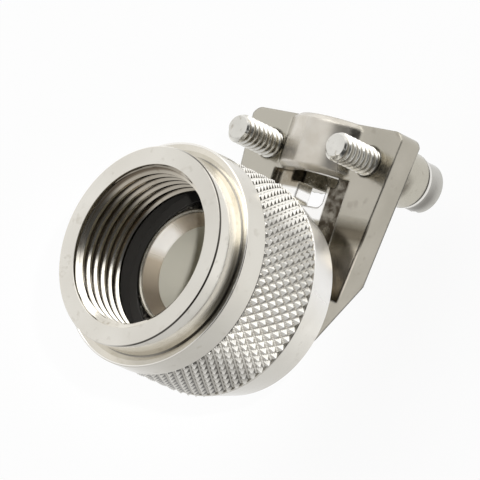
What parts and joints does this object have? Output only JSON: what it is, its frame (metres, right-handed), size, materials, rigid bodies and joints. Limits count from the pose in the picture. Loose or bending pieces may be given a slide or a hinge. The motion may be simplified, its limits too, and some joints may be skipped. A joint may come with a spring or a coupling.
{
  "type": "right-angle strain relief for a circular connector",
  "caption": "Right-angle strain relief: a knurled coupling nut turns on a one-piece elbow whose saddle and loose bar clamp the cable at a right angle to the connector.",
  "frame": {"origin": "on the coupling thread's axis, where the threaded wall begins inside the mouth", "axes": "+Z along the coupling thread out of the mouth, +Y the way the cable leaves, +X from the left clamp screw to the right one"},
  "size_m": [0.0264, 0.0358, 0.0342],
  "materials": {
    "nut_plating": "bright electroless nickel",
    "elbow_plating": "bright electroless nickel",
    "bar_plating": "bright electroless nickel",
    "ring_steel": "plain spring wire",
    "washer_steel": "bright plated steel",
    "screw_steel": "bright plated steel"
  },
  "bodies": {
    "elbow": {"elbow_body": "elbow_plating", "retaining_ring": "ring_steel"},
    "nut": {"coupling_nut": "nut_plating"},
    "clamp": {"clamp_bar": "bar_plating", "lock_washer_left": "washer_steel", "lock_washer_right": "washer_steel"},
    "screw_left": {"clamp_screw_left": "screw_steel"},
    "screw_right": {"clamp_screw_right": "screw_steel"}
  },
  "joints": [
    {"name": "nut_spin", "type": "hinge", "parent": "elbow", "child": "nut", "pos_m": [0, 0, 0], "axis": [0, 0, 1], "continuous": true},
    {"name": "clamp_slide", "type": "slide", "parent": "elbow", "child": "clamp", "axis": [0, 0, -1], "range_m": [0, 0.00476]},
    {"name": "screw_left_turn", "type": "hinge", "parent": "clamp", "child": "screw_left", "pos_m": [-0.0077, 0.0186, 0], "axis": [0, 0, -1], "continuous": true},
    {"name": "screw_right_turn", "type": "hinge", "parent": "clamp", "child": "screw_right", "pos_m": [0.0077, 0.0186, 0], "axis": [0, 0, -1], "continuous": true}
  ]
}
